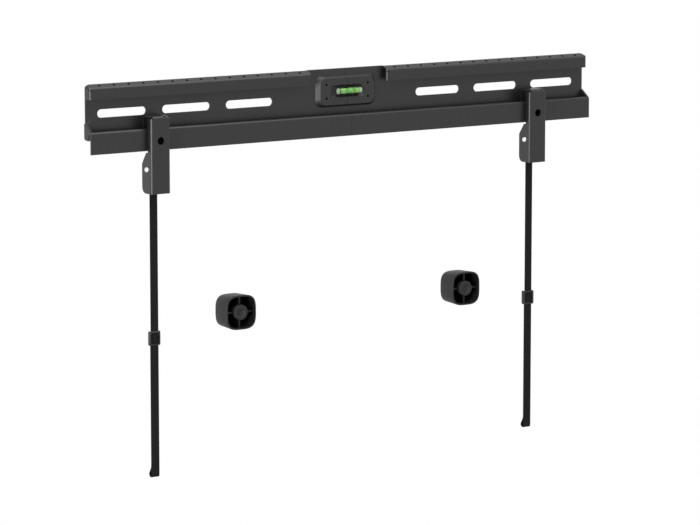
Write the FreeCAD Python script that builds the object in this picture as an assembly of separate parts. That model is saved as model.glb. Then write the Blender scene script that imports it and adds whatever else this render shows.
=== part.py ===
"""Nail-up wall mount for a television: folded steel rail, two latching hooks with pull straps, level, bumpers.

The wall is the plane Y = 0 and the viewer stands on its -Y side. X runs along the rail from its middle.
Z = 0 is the line of the rail's screw slots. Depths are distances in front of the wall.
"""
import FreeCAD, Part
import math
import os

V = FreeCAD.Vector

# Sheet steel of the rail and the hooks
SHEET = 2.0
BEND = 1.0                  # inside radius of every fold

# Rail: plate on the wall, nail flange along its top, trough and hanging lip along its bottom
RAIL_LENGTH = 658.0
RAIL_TOP = 32.0             # plate's top edge between the two nail flanges
FLANGE_GAP = 100.0          # opening between the nail flanges, where the level sits
FLANGE_DEPTH = 11.0
FLANGE_BACK = 33.9          # height of the flange's slope at the wall, measured to the sharp corner
FLANGE_FRONT = 28.0         # height of the slope at its front corner
FLANGE_FOOT = 15.8          # lower edge of the flange's front
LIP_DEPTH = 15.0
LIP_CORNER = -18.2          # where the back faces of ramp and lip would meet
LIP_FOOT = -42.0
RAMP_ANGLE = 50.0           # rise of the trough's ramp, degrees
EAR_TOP = -10.0
EAR_PROUD = 1.0             # the folded ears and the lip stand this far past each end of the plate
MARK_WIDTH = 0.8            # scribed line at the middle
MARK_DEPTH = 0.3

# Screw slots
SLOT_LENGTH = 60.0
SLOT_HEIGHT = 9.0
SLOT_FIRST = 125.0          # nearest slot's middle
SLOT_STEP = 80.0
SLOTS_PER_SIDE = 3

# Nail holes, drilled on a slant through the flange and the plate behind it
NAIL_HOLE_D = 3.0
NAIL_STEP = 18.0
NAIL_FIRST = 63.0
NAILS_PER_SIDE = 15
NAIL_DEPTH = 6.9
NAIL_SLANT = 45.0           # degrees below the horizontal

# Level housing
LEVEL_Z = 7.2
LEVEL_BASE = (79.0, 35.0)
LEVEL_FACE = (72.4, 31.4)
LEVEL_THICK = 4.8
LEVEL_CORNER = 8.5
LEVEL_EDGE = 0.7            # small chamfer round the face
LEVEL_SCREW_X = 27.4
LEVEL_SCREW_Z = 7.6
POCKET_MOUTH = (42.4, 13.4)
POCKET_FLOOR = (37.0, 8.6)
POCKET_DEPTH = 2.2
POCKET_CORNER = 1.2
NOTCH = 1.0                 # notches in the pocket's rim, level with the rings on the vial
RING_X = 8.4

# Countersunk screws of the level
SCREW_HEAD_D = 6.6
SCREW_HEAD_H = 1.7
SCREW_SHANK_D = 3.0
SCREW_SOCKET_D = 2.0
SCREW_SOCKET_DEPTH = 1.0
SCREW_TIP = 0.3             # the tips stop this far short of the wall

# Vial
VIAL_D = 7.4
VIAL_LENGTH = 30.8
VIAL_SHIFT = 1.5            # the plugged end makes the tube longer to the right
VIAL_DEPTH = 8.0            # depth of the vial's axis
VIAL_BORE_D = 5.2
VIAL_END = 2.0              # thickness of the closed end
PLUG_LENGTH = 3.4
BUBBLE_D = 2.8
BUBBLE_LENGTH = 7.0
BUBBLE_X = -2.4

# Hooks
HOOK_X = 250.0
HOOK_WIDTH = 24.0
HOOK_DEPTH = 24.0
HOOK_TOP = -4.5
HOOK_FOOT = -88.0
HOOK_SIDE_DEPTH = 4.1       # depth of the side flanges' back edge
HOOK_SIDE_TOP = -7.3
LIP_ROOM = 1.4              # room between the lip's front and the sides of the hook
LIP_UNDER = 2.0             # room between the lip's foot and the sides of the hook
SIDE_LEDGE = 3.4            # each side flange runs level under the lip for this far
SIDE_SLOPE = 12.2           # height of the slope behind that ledge
SIDE_CORNER = 7.0
TONGUE_INSET = 2.5          # top flange and tongue are this much narrower at each side
RUN = 0.4                   # clearance of the tongue in the trough
SCREW_HOLE_D = 8.5
SCREW_HOLE_Z = -31.0
VENT_D = 3.0                # small hole in the fold at the top of the hook
VENT_X = 5.0
VENT_SETBACK = 1.8

# Latch
PIN_DEPTH = 15.1
PIN_Z = -61.9
PIN_D = 4.0
PIN_HEAD_D = 6.2
PIN_HEAD_H = 3.0
PIVOT_PLAY = 0.05           # radial clearance of the lever on its pin
LATCH_TURN = 25.0           # degrees from latched to released
LATCH_ARM = 8.3             # pin to strap bar
LATCH_GAP = 0.4             # nose to the back of the lip
LATCH_THICK = 2.2
LATCH_CATCH = 2.4           # how far the nose reaches up behind the lip
NOSE_WIDTH = 9.0
NOSE_BASE = 5.0             # height of the wide foot of the nose
NOSE_FOOT = -56.4
HUB_D = 9.2
BAR_D = 2.6
BAR_EYE = 3.8               # diameter of the arms round the strap bar
ARM_THICK = 2.6
SIDE_PLAY = 0.4             # lever hub to the hook's sides, and strap to the lever's arms

# Torsion spring
WIRE_D = 0.9
COIL_D = 6.8                # middle of the wire
COIL_TURNS = 3.0
COIL_PITCH = 1.2
LEG_UP = 9.0
LEG_DIP = 45.0              # direction of the lower leg below the horizontal, degrees
SPRING_TOUCH = 0.05         # gap between a leg and what it presses on

# Pull strap and its keeper
STRAP_WIDTH = 9.5
STRAP_THICK = 1.0
LOOP_PLAY = 0.55            # strap loop round the bar
SEAM_LENGTH = 22.0
STRAP_FOOT = -399.6
ROLL_D = 6.4                # rolled end of the strap
KEEPER_Z = -246.6
KEEPER_SIZE = (13.4, 14.6)
KEEPER_WALL = 0.9
KEEPER_CORNER = 1.6
KEEPER_PLAY = 0.3

# Bumpers
BUMPER_X = 150.0
BUMPER_SHIFT = -1.9         # the loose pair's middle, beside the rail's middle
BUMPER_Z = -224.8
BUMPER_SIZE = 38.0          # square rim
BUMPER_BACK = 36.0          # square back, smaller for the mould's draft
BUMPER_DEPTH = 27.0
BUMPER_CORNER = 12.0
BUMPER_WALL = 1.7
BUMPER_FLOOR = 2.5
BUMPER_BACK_EDGE = 3.0
BUMPER_RIM_EDGE = 0.9
RIB_THICK = 1.6
RIB_SETBACK = 4.3           # ribs stop this far behind the rim
BOSS_D = 16.0
BOSS_SETBACK = 6.0          # boss's front behind the rim
FOOT_D = 16.8
FOOT_THICK = 3.0
FOOT_SETBACK = 0.4          # foot's face behind the rim
FOOT_STEM_D = 11.0
FOOT_STEM_INTO = 6.0        # how far the stem is pressed into the boss
FOOT_EDGE = 0.6
BUMPER_HOLE_D = 4.5
BUMPER_SINK_D = 9.0

TINY = 1e-6

# Worked out from the sizes above
RAIL_HALF = RAIL_LENGTH / 2
RAMP = math.tan(math.radians(RAMP_ANGLE))
RAMP_THICK = SHEET / math.cos(math.radians(RAMP_ANGLE))     # ramp's thickness measured upright
LIP_BACK = -(LIP_DEPTH - SHEET)
RAMP_FOOT = LIP_CORNER + LIP_BACK * RAMP
TONGUE_BACK = -(SHEET + RUN)
HALF_TURN = math.radians(LATCH_TURN / 2)
PIN_Y = -PIN_DEPTH
BAR_Y = PIN_Y + LATCH_ARM * math.cos(HALF_TURN)
BAR_Z = PIN_Z + LATCH_ARM * math.sin(HALF_TURN)
NOSE_FRONT = LIP_BACK + LATCH_GAP
NOSE_BACK = NOSE_FRONT + LATCH_THICK
ARM_INNER = STRAP_WIDTH / 2 + SIDE_PLAY
HOOK_INNER = HOOK_WIDTH / 2 - SHEET
HUB_OUTER = HOOK_INNER - SIDE_PLAY
LEVEL_FRONT = -(SHEET + LEVEL_THICK)
STRAP_FRONT = BAR_Y - STRAP_THICK / 2
BUMPER_FACE = -BUMPER_DEPTH
BOSS_FACE = BUMPER_FACE + BOSS_SETBACK
STEM_END = BOSS_FACE + FOOT_STEM_INTO


def side_view(y, z):
    return V(0, y, z)


def front_view(x, z):
    return V(x, 0, z)


def top_view(x, y):
    return V(x, y, 0)


def outline(corners, view):
    """Face with straight sides and rounded corners, each corner given as (u, v, radius)."""
    ends = []
    for i, (u, v, radius) in enumerate(corners):
        here = view(u, v)
        if radius == 0:
            ends.append((here, here, here))
            continue
        to_last = (view(*corners[i - 1][:2]) - here).normalize()
        to_next = (view(*corners[(i + 1) % len(corners)][:2]) - here).normalize()
        half = to_last.getAngle(to_next) / 2
        reach = radius / math.tan(half)
        middle = here + (to_last + to_next).normalize() * (radius / math.sin(half) - radius)
        ends.append((here + to_last * reach, middle, here + to_next * reach))
    edges = []
    for i, (first, middle, last) in enumerate(ends):
        following = ends[(i + 1) % len(ends)][0]
        if first.distanceToPoint(last) > TINY:
            edges.append(Part.Arc(first, middle, last).toShape())
        if last.distanceToPoint(following) > TINY:
            edges.append(Part.LineSegment(last, following).toShape())
    return Part.Face(Part.Wire(edges))


def rectangle(size, radius, view, centre=(0.0, 0.0)):
    half_u = size[0] / 2
    half_v = size[1] / 2
    signs = ((-1, -1), (1, -1), (1, 1), (-1, 1))
    return outline([(centre[0] + a * half_u, centre[1] + b * half_v, radius) for a, b in signs], view)


def fold(path):
    """Side view of a folded sheet. The path follows one face, and the sheet lies to its right."""
    count = len(path)
    normals = []
    for (y0, z0), (y1, z1) in zip(path, path[1:]):
        length = math.hypot(y1 - y0, z1 - z0)
        normals.append(((z1 - z0) / length, (y0 - y1) / length))
    near = [(path[0][0], path[0][1], 0)]
    far = [(path[0][0] + SHEET * normals[0][0], path[0][1] + SHEET * normals[0][1], 0)]
    for i in range(1, count - 1):
        (ay, az), (by, bz) = normals[i - 1], normals[i]
        spread = SHEET / (1 + ay * by + az * bz)
        turns_right = ay * bz - az * by < 0
        near.append((path[i][0], path[i][1], BEND + SHEET if turns_right else BEND))
        corner = (path[i][0] + spread * (ay + by), path[i][1] + spread * (az + bz))
        far.append((corner[0], corner[1], BEND if turns_right else BEND + SHEET))
    near.append((path[-1][0], path[-1][1], 0))
    far.append((path[-1][0] + SHEET * normals[-1][0], path[-1][1] + SHEET * normals[-1][1], 0))
    return outline(near + far[::-1], side_view)


def across(face, x_from, x_to):
    """Extrudes a side view along X."""
    return face.translated(V(x_from, 0, 0)).extrude(V(x_to - x_from, 0, 0))


def deep(face, y_from, y_to):
    """Extrudes a front view along Y."""
    return face.translated(V(0, y_from, 0)).extrude(V(0, y_to - y_from, 0))


def box(x, y, z):
    """Box between three pairs of limits."""
    return Part.makeBox(x[1] - x[0], y[1] - y[0], z[1] - z[0], V(x[0], y[0], z[0]))


def rod_x(diameter, x_from, x_to, y, z):
    return Part.makeCylinder(diameter / 2, x_to - x_from, V(x_from, y, z), V(1, 0, 0))


def rod_y(diameter, y_from, y_to, x, z):
    return Part.makeCylinder(diameter / 2, y_to - y_from, V(x, y_from, z), V(0, 1, 0))


def joined(shapes):
    return shapes[0].fuse(shapes[1:]).removeSplitter()


def ramp_top(y):
    """Height of the trough's floor at a place in front of the plate."""
    return RAMP_FOOT + RAMP_THICK - RAMP * y


def wall_plate():
    """Rail folded from one sheet, with its slots, nail holes, end ears and scribed middle."""
    end = RAIL_HALF + EAR_PROUD
    below = [(0, RAMP_FOOT), (LIP_BACK, LIP_CORNER), (LIP_BACK, LIP_FOOT)]
    flange = [(-FLANGE_DEPTH, FLANGE_FOOT), (-FLANGE_DEPTH, FLANGE_FRONT), (0, FLANGE_BACK)]
    flanged = fold(flange + below)
    plain = fold([(0, RAIL_TOP)] + below)
    gap = FLANGE_GAP / 2
    plate = joined([across(flanged, -end, -gap), across(plain, -gap, gap), across(flanged, gap, end)])
    ends = [box((s * end - EAR_PROUD, s * end + EAR_PROUD), (-LIP_DEPTH, SHEET), (EAR_TOP, FLANGE_BACK))
            for s in (-1, 1)]
    plate = plate.cut(ends)
    plate = joined([plate] + [ear(side * end) for side in (-1, 1)])
    return plate.cut(slots() + nail_holes() + level_holes() + middle_marks())


def ear(x_end):
    """Triangular ear that closes one end of the trough, folded forward from the plate."""
    inside = x_end - math.copysign(SHEET, x_end)
    corners = [(0, EAR_TOP, 0), (-SHEET, EAR_TOP, 0), (LIP_BACK - SHEET / 2, LIP_CORNER, 0),
               (LIP_BACK + SHEET / 2, LIP_CORNER - SHEET / 2, 0), (-SHEET, ramp_top(-SHEET), 0),
               (0, ramp_top(-SHEET), 0)]
    return across(outline(corners, side_view), min(x_end, inside), max(x_end, inside))


def slots():
    face = rectangle((SLOT_LENGTH, SLOT_HEIGHT), SLOT_HEIGHT / 2, front_view)
    cutter = deep(face, -2 * SHEET, SHEET)
    places = [SLOT_FIRST + i * SLOT_STEP for i in range(SLOTS_PER_SIDE)]
    return [cutter.translated(V(side * x, 0, 0)) for side in (-1, 1) for x in places]


def nail_holes():
    """Slanted drillings that guide each nail through the flange and then the plate."""
    slant = math.radians(NAIL_SLANT)
    along = V(0, math.cos(slant), -math.sin(slant))
    slope = (FLANGE_BACK - FLANGE_FRONT) / FLANGE_DEPTH
    entry = V(0, -NAIL_DEPTH, FLANGE_BACK - slope * NAIL_DEPTH) - along * NAIL_HOLE_D
    reach = (NAIL_DEPTH + 2 * SHEET) / math.cos(slant) + NAIL_HOLE_D
    drill = Part.makeCylinder(NAIL_HOLE_D / 2, reach, entry, along)
    places = [NAIL_FIRST + i * NAIL_STEP for i in range(NAILS_PER_SIDE)]
    return [drill.translated(V(side * x, 0, 0)) for side in (-1, 1) for x in places]


def level_screw_places():
    return [(a * LEVEL_SCREW_X, LEVEL_Z + b * LEVEL_SCREW_Z) for a in (-1, 1) for b in (-1, 1)]


def level_holes():
    return [rod_y(SCREW_SHANK_D, -2 * SHEET, SHEET, x, z) for x, z in level_screw_places()]


def middle_marks():
    """Scribed line down the plate and down the lip."""
    half = MARK_WIDTH / 2
    on_plate = box((-half, half), (-SHEET, -SHEET + MARK_DEPTH), (LIP_CORNER, RAIL_TOP))
    on_lip = box((-half, half), (-LIP_DEPTH, -LIP_DEPTH + MARK_DEPTH), (LIP_FOOT, LIP_CORNER))
    return [on_plate, on_lip]


def tapered(mouth, floor, radius, y_mouth, y_floor, z=LEVEL_Z):
    """Loft between two rounded rectangles about one middle, the level's unless another height is given."""
    wires = []
    for size, y in ((mouth, y_mouth), (floor, y_floor)):
        face = rectangle(size, radius, front_view, (0, z))
        wires.append(face.translated(V(0, y, 0)).OuterWire)
    return Part.makeLoft(wires, True, True)


def level_housing():
    """Moulded holder of the level, tapered all round, with a pocket that cradles the vial."""
    edge_y = LEVEL_FRONT + LEVEL_EDGE
    top = (LEVEL_FACE[0] - 2 * LEVEL_EDGE, LEVEL_FACE[1] - 2 * LEVEL_EDGE)
    body = joined([tapered(LEVEL_FACE, LEVEL_BASE, LEVEL_CORNER, edge_y, -SHEET),
                   tapered(top, LEVEL_FACE, LEVEL_CORNER - LEVEL_EDGE, LEVEL_FRONT, edge_y)])
    cuts = [tapered(POCKET_MOUTH, POCKET_FLOOR, POCKET_CORNER, LEVEL_FRONT, LEVEL_FRONT + POCKET_DEPTH)]
    cuts.append(vial_rod(VIAL_D, -VIAL_LENGTH / 2, VIAL_LENGTH / 2))
    for x, z in level_screw_places():
        cuts.append(screw_head(x, z))
        cuts.append(rod_y(SCREW_SHANK_D, LEVEL_FRONT, 0, x, z))
    for a in (-1, 1):
        for b in (-1, 1):
            z = LEVEL_Z + b * POCKET_MOUTH[1] / 2
            cuts.append(box((a * RING_X - NOTCH / 2, a * RING_X + NOTCH / 2),
                            (LEVEL_FRONT, LEVEL_FRONT + NOTCH), (z - NOTCH, z + NOTCH)))
    half = MARK_WIDTH / 2
    cuts.append(box((-half, half), (LEVEL_FRONT, LEVEL_FRONT + MARK_DEPTH),
                    (LEVEL_Z - LEVEL_BASE[1], LEVEL_Z + LEVEL_BASE[1])))
    return body.cut(cuts)


def screw_head(x, z):
    """Countersunk head, flush with the housing's face."""
    return Part.makeCone(SCREW_HEAD_D / 2, SCREW_SHANK_D / 2, SCREW_HEAD_H, V(x, LEVEL_FRONT, z), V(0, 1, 0))


def level_screws():
    """Four countersunk screws through the housing into the plate."""
    screws = []
    for x, z in level_screw_places():
        shank = rod_y(SCREW_SHANK_D, LEVEL_FRONT + SCREW_HEAD_H, -SCREW_TIP, x, z)
        socket = rod_y(SCREW_SOCKET_D, LEVEL_FRONT, LEVEL_FRONT + SCREW_SOCKET_DEPTH, x, z)
        screws.append(joined([screw_head(x, z), shank]).cut(socket))
    return Part.makeCompound(screws)


def vial_rod(diameter, x_from, x_to):
    return rod_x(diameter, VIAL_SHIFT + x_from, VIAL_SHIFT + x_to, -VIAL_DEPTH, LEVEL_Z)


def vial_tube():
    tube = vial_rod(VIAL_D, -VIAL_LENGTH / 2, VIAL_LENGTH / 2)
    return tube.cut(vial_rod(VIAL_BORE_D, -VIAL_LENGTH / 2 + VIAL_END, VIAL_LENGTH / 2))


def vial_plug():
    return vial_rod(VIAL_BORE_D, VIAL_LENGTH / 2 - PLUG_LENGTH, VIAL_LENGTH / 2)


def vial_fluid():
    """Fluid that fills the bore, less the bubble at its top."""
    fluid = vial_rod(VIAL_BORE_D, -VIAL_LENGTH / 2 + VIAL_END, VIAL_LENGTH / 2 - PLUG_LENGTH)
    half = (BUBBLE_LENGTH - BUBBLE_D) / 2
    z = LEVEL_Z + VIAL_BORE_D / 2 - BUBBLE_D / 2 + MARK_DEPTH
    bubble = [rod_x(BUBBLE_D, BUBBLE_X - half, BUBBLE_X + half, -VIAL_DEPTH, z)]
    for x in (BUBBLE_X - half, BUBBLE_X + half):
        bubble.append(Part.makeSphere(BUBBLE_D / 2, V(x, -VIAL_DEPTH, z)))
    return fluid.cut(joined(bubble))


def hook_bracket():
    """Hook folded from one sheet: channel in front, flange over the rail and tongue in the trough."""
    front = -HOOK_DEPTH
    back = -HOOK_SIDE_DEPTH
    lip_side = -(LIP_DEPTH + LIP_ROOM)
    slope_top = LIP_FOOT - LIP_UNDER
    half = HOOK_WIDTH / 2
    sides = outline([(front, HOOK_FOOT, 0), (front, HOOK_SIDE_TOP, 0), (lip_side, HOOK_SIDE_TOP, BEND),
                     (lip_side, slope_top, BEND), (lip_side + SIDE_LEDGE, slope_top, BEND),
                     (back, slope_top - SIDE_SLOPE, BEND + SHEET),
                     (back, HOOK_FOOT, SIDE_CORNER)], side_view)
    channel = across(sides, -half, half)
    rounded = [(-half, front, BEND + SHEET), (half, front, BEND + SHEET), (half, 0, 0), (-half, 0, 0)]
    hollow = [(-HOOK_INNER, front + SHEET, BEND), (HOOK_INNER, front + SHEET, BEND),
              (HOOK_INNER, 0, 0), (-HOOK_INNER, 0, 0)]
    tall = V(0, 0, HOOK_SIDE_TOP - HOOK_FOOT)
    foot = V(0, 0, HOOK_FOOT)
    channel = channel.common(outline(rounded, top_view).translated(foot).extrude(tall))
    channel = channel.cut(outline(hollow, top_view).translated(foot).extrude(tall))
    tongue_foot = ramp_top(TONGUE_BACK - SHEET) + RUN / math.cos(math.radians(RAMP_ANGLE))
    over = fold([(front, SCREW_HOLE_Z), (front, HOOK_TOP), (TONGUE_BACK, HOOK_TOP), (TONGUE_BACK, tongue_foot)])
    top_half = half - TONGUE_INSET
    body = joined([channel, across(over, -top_half, top_half)])
    vent = Part.makeCylinder(VENT_D / 2, 2 * SHEET, V(VENT_X, front + VENT_SETBACK, HOOK_TOP - 2 * SHEET))
    return body.cut([rod_y(SCREW_HOLE_D, front - SHEET, front + 2 * SHEET, 0, SCREW_HOLE_Z),
                     rod_x(PIN_D, -HOOK_WIDTH, HOOK_WIDTH, PIN_Y, PIN_Z), vent])


def link(a, radius_a, b, radius_b):
    """Side view of a link that wraps two round eyes."""
    span = math.hypot(b[0] - a[0], b[1] - a[1])
    along = math.atan2(b[1] - a[1], b[0] - a[0])
    lean = math.acos((radius_a - radius_b) / span)

    def rim(centre, radius, angle):
        return V(0, centre[0] + radius * math.cos(angle), centre[1] + radius * math.sin(angle))

    a_ends = rim(a, radius_a, along + lean), rim(a, radius_a, along + math.pi), rim(a, radius_a, along - lean)
    b_ends = rim(b, radius_b, along - lean), rim(b, radius_b, along), rim(b, radius_b, along + lean)
    edges = [Part.Arc(*a_ends).toShape(), Part.LineSegment(a_ends[2], b_ends[0]).toShape(),
             Part.Arc(*b_ends).toShape(), Part.LineSegment(b_ends[2], a_ends[0]).toShape()]
    return Part.Face(Part.Wire(edges))


def latch_lever():
    """Moulded lever: nose behind the lip, two arms on the pin, and a bar that the strap loops round."""
    pin = (PIN_Y, PIN_Z)
    bar = (BAR_Y, BAR_Z)
    nose_mid = ((NOSE_FRONT + NOSE_BACK) / 2, NOSE_FOOT + NOSE_BASE - LATCH_THICK / 2)
    arm_outer = ARM_INNER + ARM_THICK
    solids = [nose(arm_outer), rod_x(BAR_D, -arm_outer, arm_outer, *bar)]
    for side in (-1, 1):
        inner, outer = sorted((side * ARM_INNER, side * arm_outer))
        hub_from, hub_to = sorted((side * ARM_INNER, side * HUB_OUTER))
        solids.append(across(link(pin, HUB_D / 2, bar, BAR_EYE / 2), inner, outer))
        solids.append(across(link(pin, HUB_D / 2, nose_mid, LATCH_THICK / 2), inner, outer))
        solids.append(rod_x(HUB_D, hub_from, hub_to, *pin))
    bore = rod_x(PIN_D + 2 * PIVOT_PLAY, -HOOK_INNER, HOOK_INNER, *pin)
    return joined(solids).cut(bore)


def nose(half_base):
    """Flat nose, wide at its foot, with a sloped tip that rides under the lip when the hook is pushed home."""
    tip = LIP_FOOT + LATCH_CATCH
    half = NOSE_WIDTH / 2
    step = NOSE_FOOT + NOSE_BASE
    plan = outline([(-half_base, NOSE_FOOT, 0), (half_base, NOSE_FOOT, 0), (half_base, step, BEND),
                    (half, step, BEND), (half, tip, BEND), (-half, tip, BEND), (-half, step, BEND),
                    (-half_base, step, BEND)], front_view)
    flank = outline([(NOSE_FRONT, NOSE_FOOT, 0), (NOSE_FRONT, tip, 0), (NOSE_BACK, tip - LATCH_CATCH, BEND),
                     (NOSE_BACK, NOSE_FOOT, 0)], side_view)
    return deep(plan, NOSE_FRONT, NOSE_BACK).common(across(flank, -half_base, half_base))


def latch_pin():
    """Pin with a domed head riveted on each side of the hook."""
    half = HOOK_WIDTH / 2
    pin = rod_x(PIN_D, -half, half, PIN_Y, PIN_Z)
    dome_r = (PIN_HEAD_D ** 2 / 4 + PIN_HEAD_H ** 2) / (2 * PIN_HEAD_H)
    heads = []
    for side in (-1, 1):
        ball = Part.makeSphere(dome_r, V(side * (half + PIN_HEAD_H - dome_r), PIN_Y, PIN_Z))
        x_from, x_to = sorted((side * half, side * (half + PIN_HEAD_H)))
        heads.append(ball.common(rod_x(PIN_HEAD_D, x_from, x_to, PIN_Y, PIN_Z)))
    return joined([pin] + heads)


def latch_spring():
    """Torsion spring on the pin: its upper leg bears on the nose and its lower leg on the hook's front."""
    radius = COIL_D / 2
    edge_y = NOSE_BACK - PIN_Y                          # the nose's lower back edge, seen from the pin
    edge_z = NOSE_FOOT - PIN_Z
    reach = radius - WIRE_D / 2 - SPRING_TOUCH
    lean = math.acos(reach / math.hypot(edge_y, edge_z)) - math.atan2(edge_z, edge_y)
    turn = 2 * math.pi * COIL_TURNS + math.radians(90 - LEG_DIP) - lean
    height = COIL_PITCH * turn / (2 * math.pi)
    helix = Part.makeHelix(COIL_PITCH, height, radius)
    helix.rotate(V(0, 0, 0), V(0, 1, 0), -90)           # axis along -X, first point on +Z
    helix.rotate(V(0, 0, 0), V(1, 0, 0), -90 - math.degrees(lean))
    helix.translate(V(height / 2, PIN_Y, PIN_Z))
    coil = helix.Edges
    first = coil[0]
    last = coil[-1]
    top = first.valueAt(first.FirstParameter)
    low = last.valueAt(last.LastParameter)
    up = first.tangentAt(first.FirstParameter) * -1
    down = last.tangentAt(last.LastParameter)
    front = -(HOOK_DEPTH - SHEET) + SPRING_TOUCH + WIRE_D / 2 * math.sin(math.radians(LEG_DIP))
    leg_down = (front - low.y) / down.y
    tip = top + up * LEG_UP
    wire = Part.Wire([Part.LineSegment(tip, top).toShape()] + coil
                     + [Part.LineSegment(low, low + down * leg_down).toShape()])
    section = Part.Wire(Part.Circle(tip, up, WIRE_D / 2).toShape())
    return wire.makePipeShell([section], True, True)


def pull_strap():
    """Webbing strap: loop round the bar, stitched seam, single run, doubled lower run and rolled end."""
    loop = BAR_D / 2 + LOOP_PLAY
    outer = loop + STRAP_THICK
    half = STRAP_WIDTH / 2
    front = STRAP_FRONT
    seam = box((-half, half), (BAR_Y - STRAP_THICK, BAR_Y + STRAP_THICK), (BAR_Z - outer - SEAM_LENGTH, BAR_Z))
    roll_r = ROLL_D / 2
    run = box((-half, half), (front, front + STRAP_THICK), (STRAP_FOOT + roll_r, BAR_Z - outer))
    doubled = box((-half, half), (front, front + 2 * STRAP_THICK), (STRAP_FOOT + roll_r, KEEPER_Z))
    roll = rod_x(ROLL_D, -half, half, front + roll_r, STRAP_FOOT + roll_r)
    ring = rod_x(2 * outer, -half, half, BAR_Y, BAR_Z)
    strap = joined([ring, seam, run, doubled, roll])
    print("strap loop radius", round(loop + STRAP_THICK / 2, 2), "rolled end radius", round(roll_r, 2))
    return strap.cut(rod_x(2 * loop, -STRAP_WIDTH, STRAP_WIDTH, BAR_Y, BAR_Z))


def strap_keeper():
    """Square moulded keeper that slides on the strap."""
    middle = STRAP_FRONT + STRAP_THICK
    half_slot = STRAP_THICK + KEEPER_PLAY
    half_deep = half_slot + KEEPER_WALL
    face = rectangle(KEEPER_SIZE, KEEPER_CORNER, front_view, (0, KEEPER_Z))
    body = deep(face, middle - half_deep, middle + half_deep)
    half = STRAP_WIDTH / 2 + KEEPER_PLAY
    tall = KEEPER_SIZE[1]
    return body.cut(box((-half, half), (middle - half_slot, middle + half_slot), (KEEPER_Z - tall, KEEPER_Z + tall)))


def edges_at(shape, y):
    """Edges that lie wholly in the plane at one depth."""
    return [e for e in shape.Edges if abs(e.BoundBox.YMin - y) < TINY and abs(e.BoundBox.YMax - y) < TINY]


def bumper():
    """Moulded spacer cup, open in front, with cross ribs and a bored boss for its foot."""
    body = tapered((BUMPER_SIZE, BUMPER_SIZE), (BUMPER_BACK, BUMPER_BACK), BUMPER_CORNER, BUMPER_FACE, 0, 0)
    body = body.makeFillet(BUMPER_BACK_EDGE, edges_at(body, 0))
    body = body.makeFillet(BUMPER_RIM_EDGE, edges_at(body, BUMPER_FACE))
    inside = BUMPER_SIZE - 2 * BUMPER_WALL
    at_floor = BUMPER_BACK - 2 * BUMPER_WALL
    body = body.cut(tapered((inside, inside), (at_floor, at_floor), BUMPER_CORNER - BUMPER_WALL,
                            BUMPER_FACE, -BUMPER_FLOOR, 0))
    rib_face = BUMPER_FACE + RIB_SETBACK
    half = at_floor / 2 + BUMPER_WALL / 2
    thin = RIB_THICK / 2
    ribs = [box((-half, half), (rib_face, -BUMPER_FLOOR), (-thin, thin)),
            box((-thin, thin), (rib_face, -BUMPER_FLOOR), (-half, half))]
    boss = rod_y(BOSS_D, BOSS_FACE, -BUMPER_FLOOR, 0, 0)
    stem_room = rod_y(FOOT_D, BUMPER_FACE, BOSS_FACE, 0, 0)
    stem_bore = rod_y(FOOT_STEM_D, BUMPER_FACE, STEM_END, 0, 0)
    hole = rod_y(BUMPER_HOLE_D, BUMPER_FACE, BUMPER_FLOOR, 0, 0)
    return joined([body, boss] + ribs).cut([stem_room, stem_bore, hole])


def bumper_foot():
    """Soft round foot with a stem pressed into the boss, bored and countersunk for a screw."""
    face = BUMPER_FACE + FOOT_SETBACK
    disc = rod_y(FOOT_D, face, face + FOOT_THICK, 0, 0)
    disc = disc.makeFillet(FOOT_EDGE, edges_at(disc, face))
    stem = rod_y(FOOT_STEM_D, face + FOOT_THICK, STEM_END, 0, 0)
    sink_deep = (BUMPER_SINK_D - BUMPER_HOLE_D) / 2
    sink = Part.makeCone(BUMPER_SINK_D / 2, BUMPER_HOLE_D / 2, sink_deep, V(0, face, 0), V(0, 1, 0))
    return joined([disc, stem]).cut([sink, rod_y(BUMPER_HOLE_D, face, 0, 0, 0)])


def save(name, shape):
    shape.exportStep("parts/" + name + ".step")
    print(name, len(shape.Solids), "solids", round(shape.Volume / 1000, 2), "cm3", shape.isValid())


os.makedirs("parts", exist_ok=True)

save("wall_plate", wall_plate())
save("level_housing", level_housing())
save("level_screws", level_screws())
save("vial_tube", vial_tube())
save("vial_plug", vial_plug())
save("vial_fluid", vial_fluid())

HOOK_PIECES = {"hook_bracket": hook_bracket(), "latch_lever": latch_lever(), "latch_pin": latch_pin(),
               "latch_spring": latch_spring(), "pull_strap": pull_strap(), "strap_keeper": strap_keeper()}
BUMPER_PIECES = {"bumper": bumper(), "bumper_foot": bumper_foot()}
for side, sign in (("left", -1), ("right", 1)):
    for name, shape in HOOK_PIECES.items():
        save(name + "_" + side, shape.translated(V(sign * HOOK_X, 0, 0)))
    for name, shape in BUMPER_PIECES.items():
        save(name + "_" + side, shape.translated(V(sign * BUMPER_X + BUMPER_SHIFT, 0, BUMPER_Z)))
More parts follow.
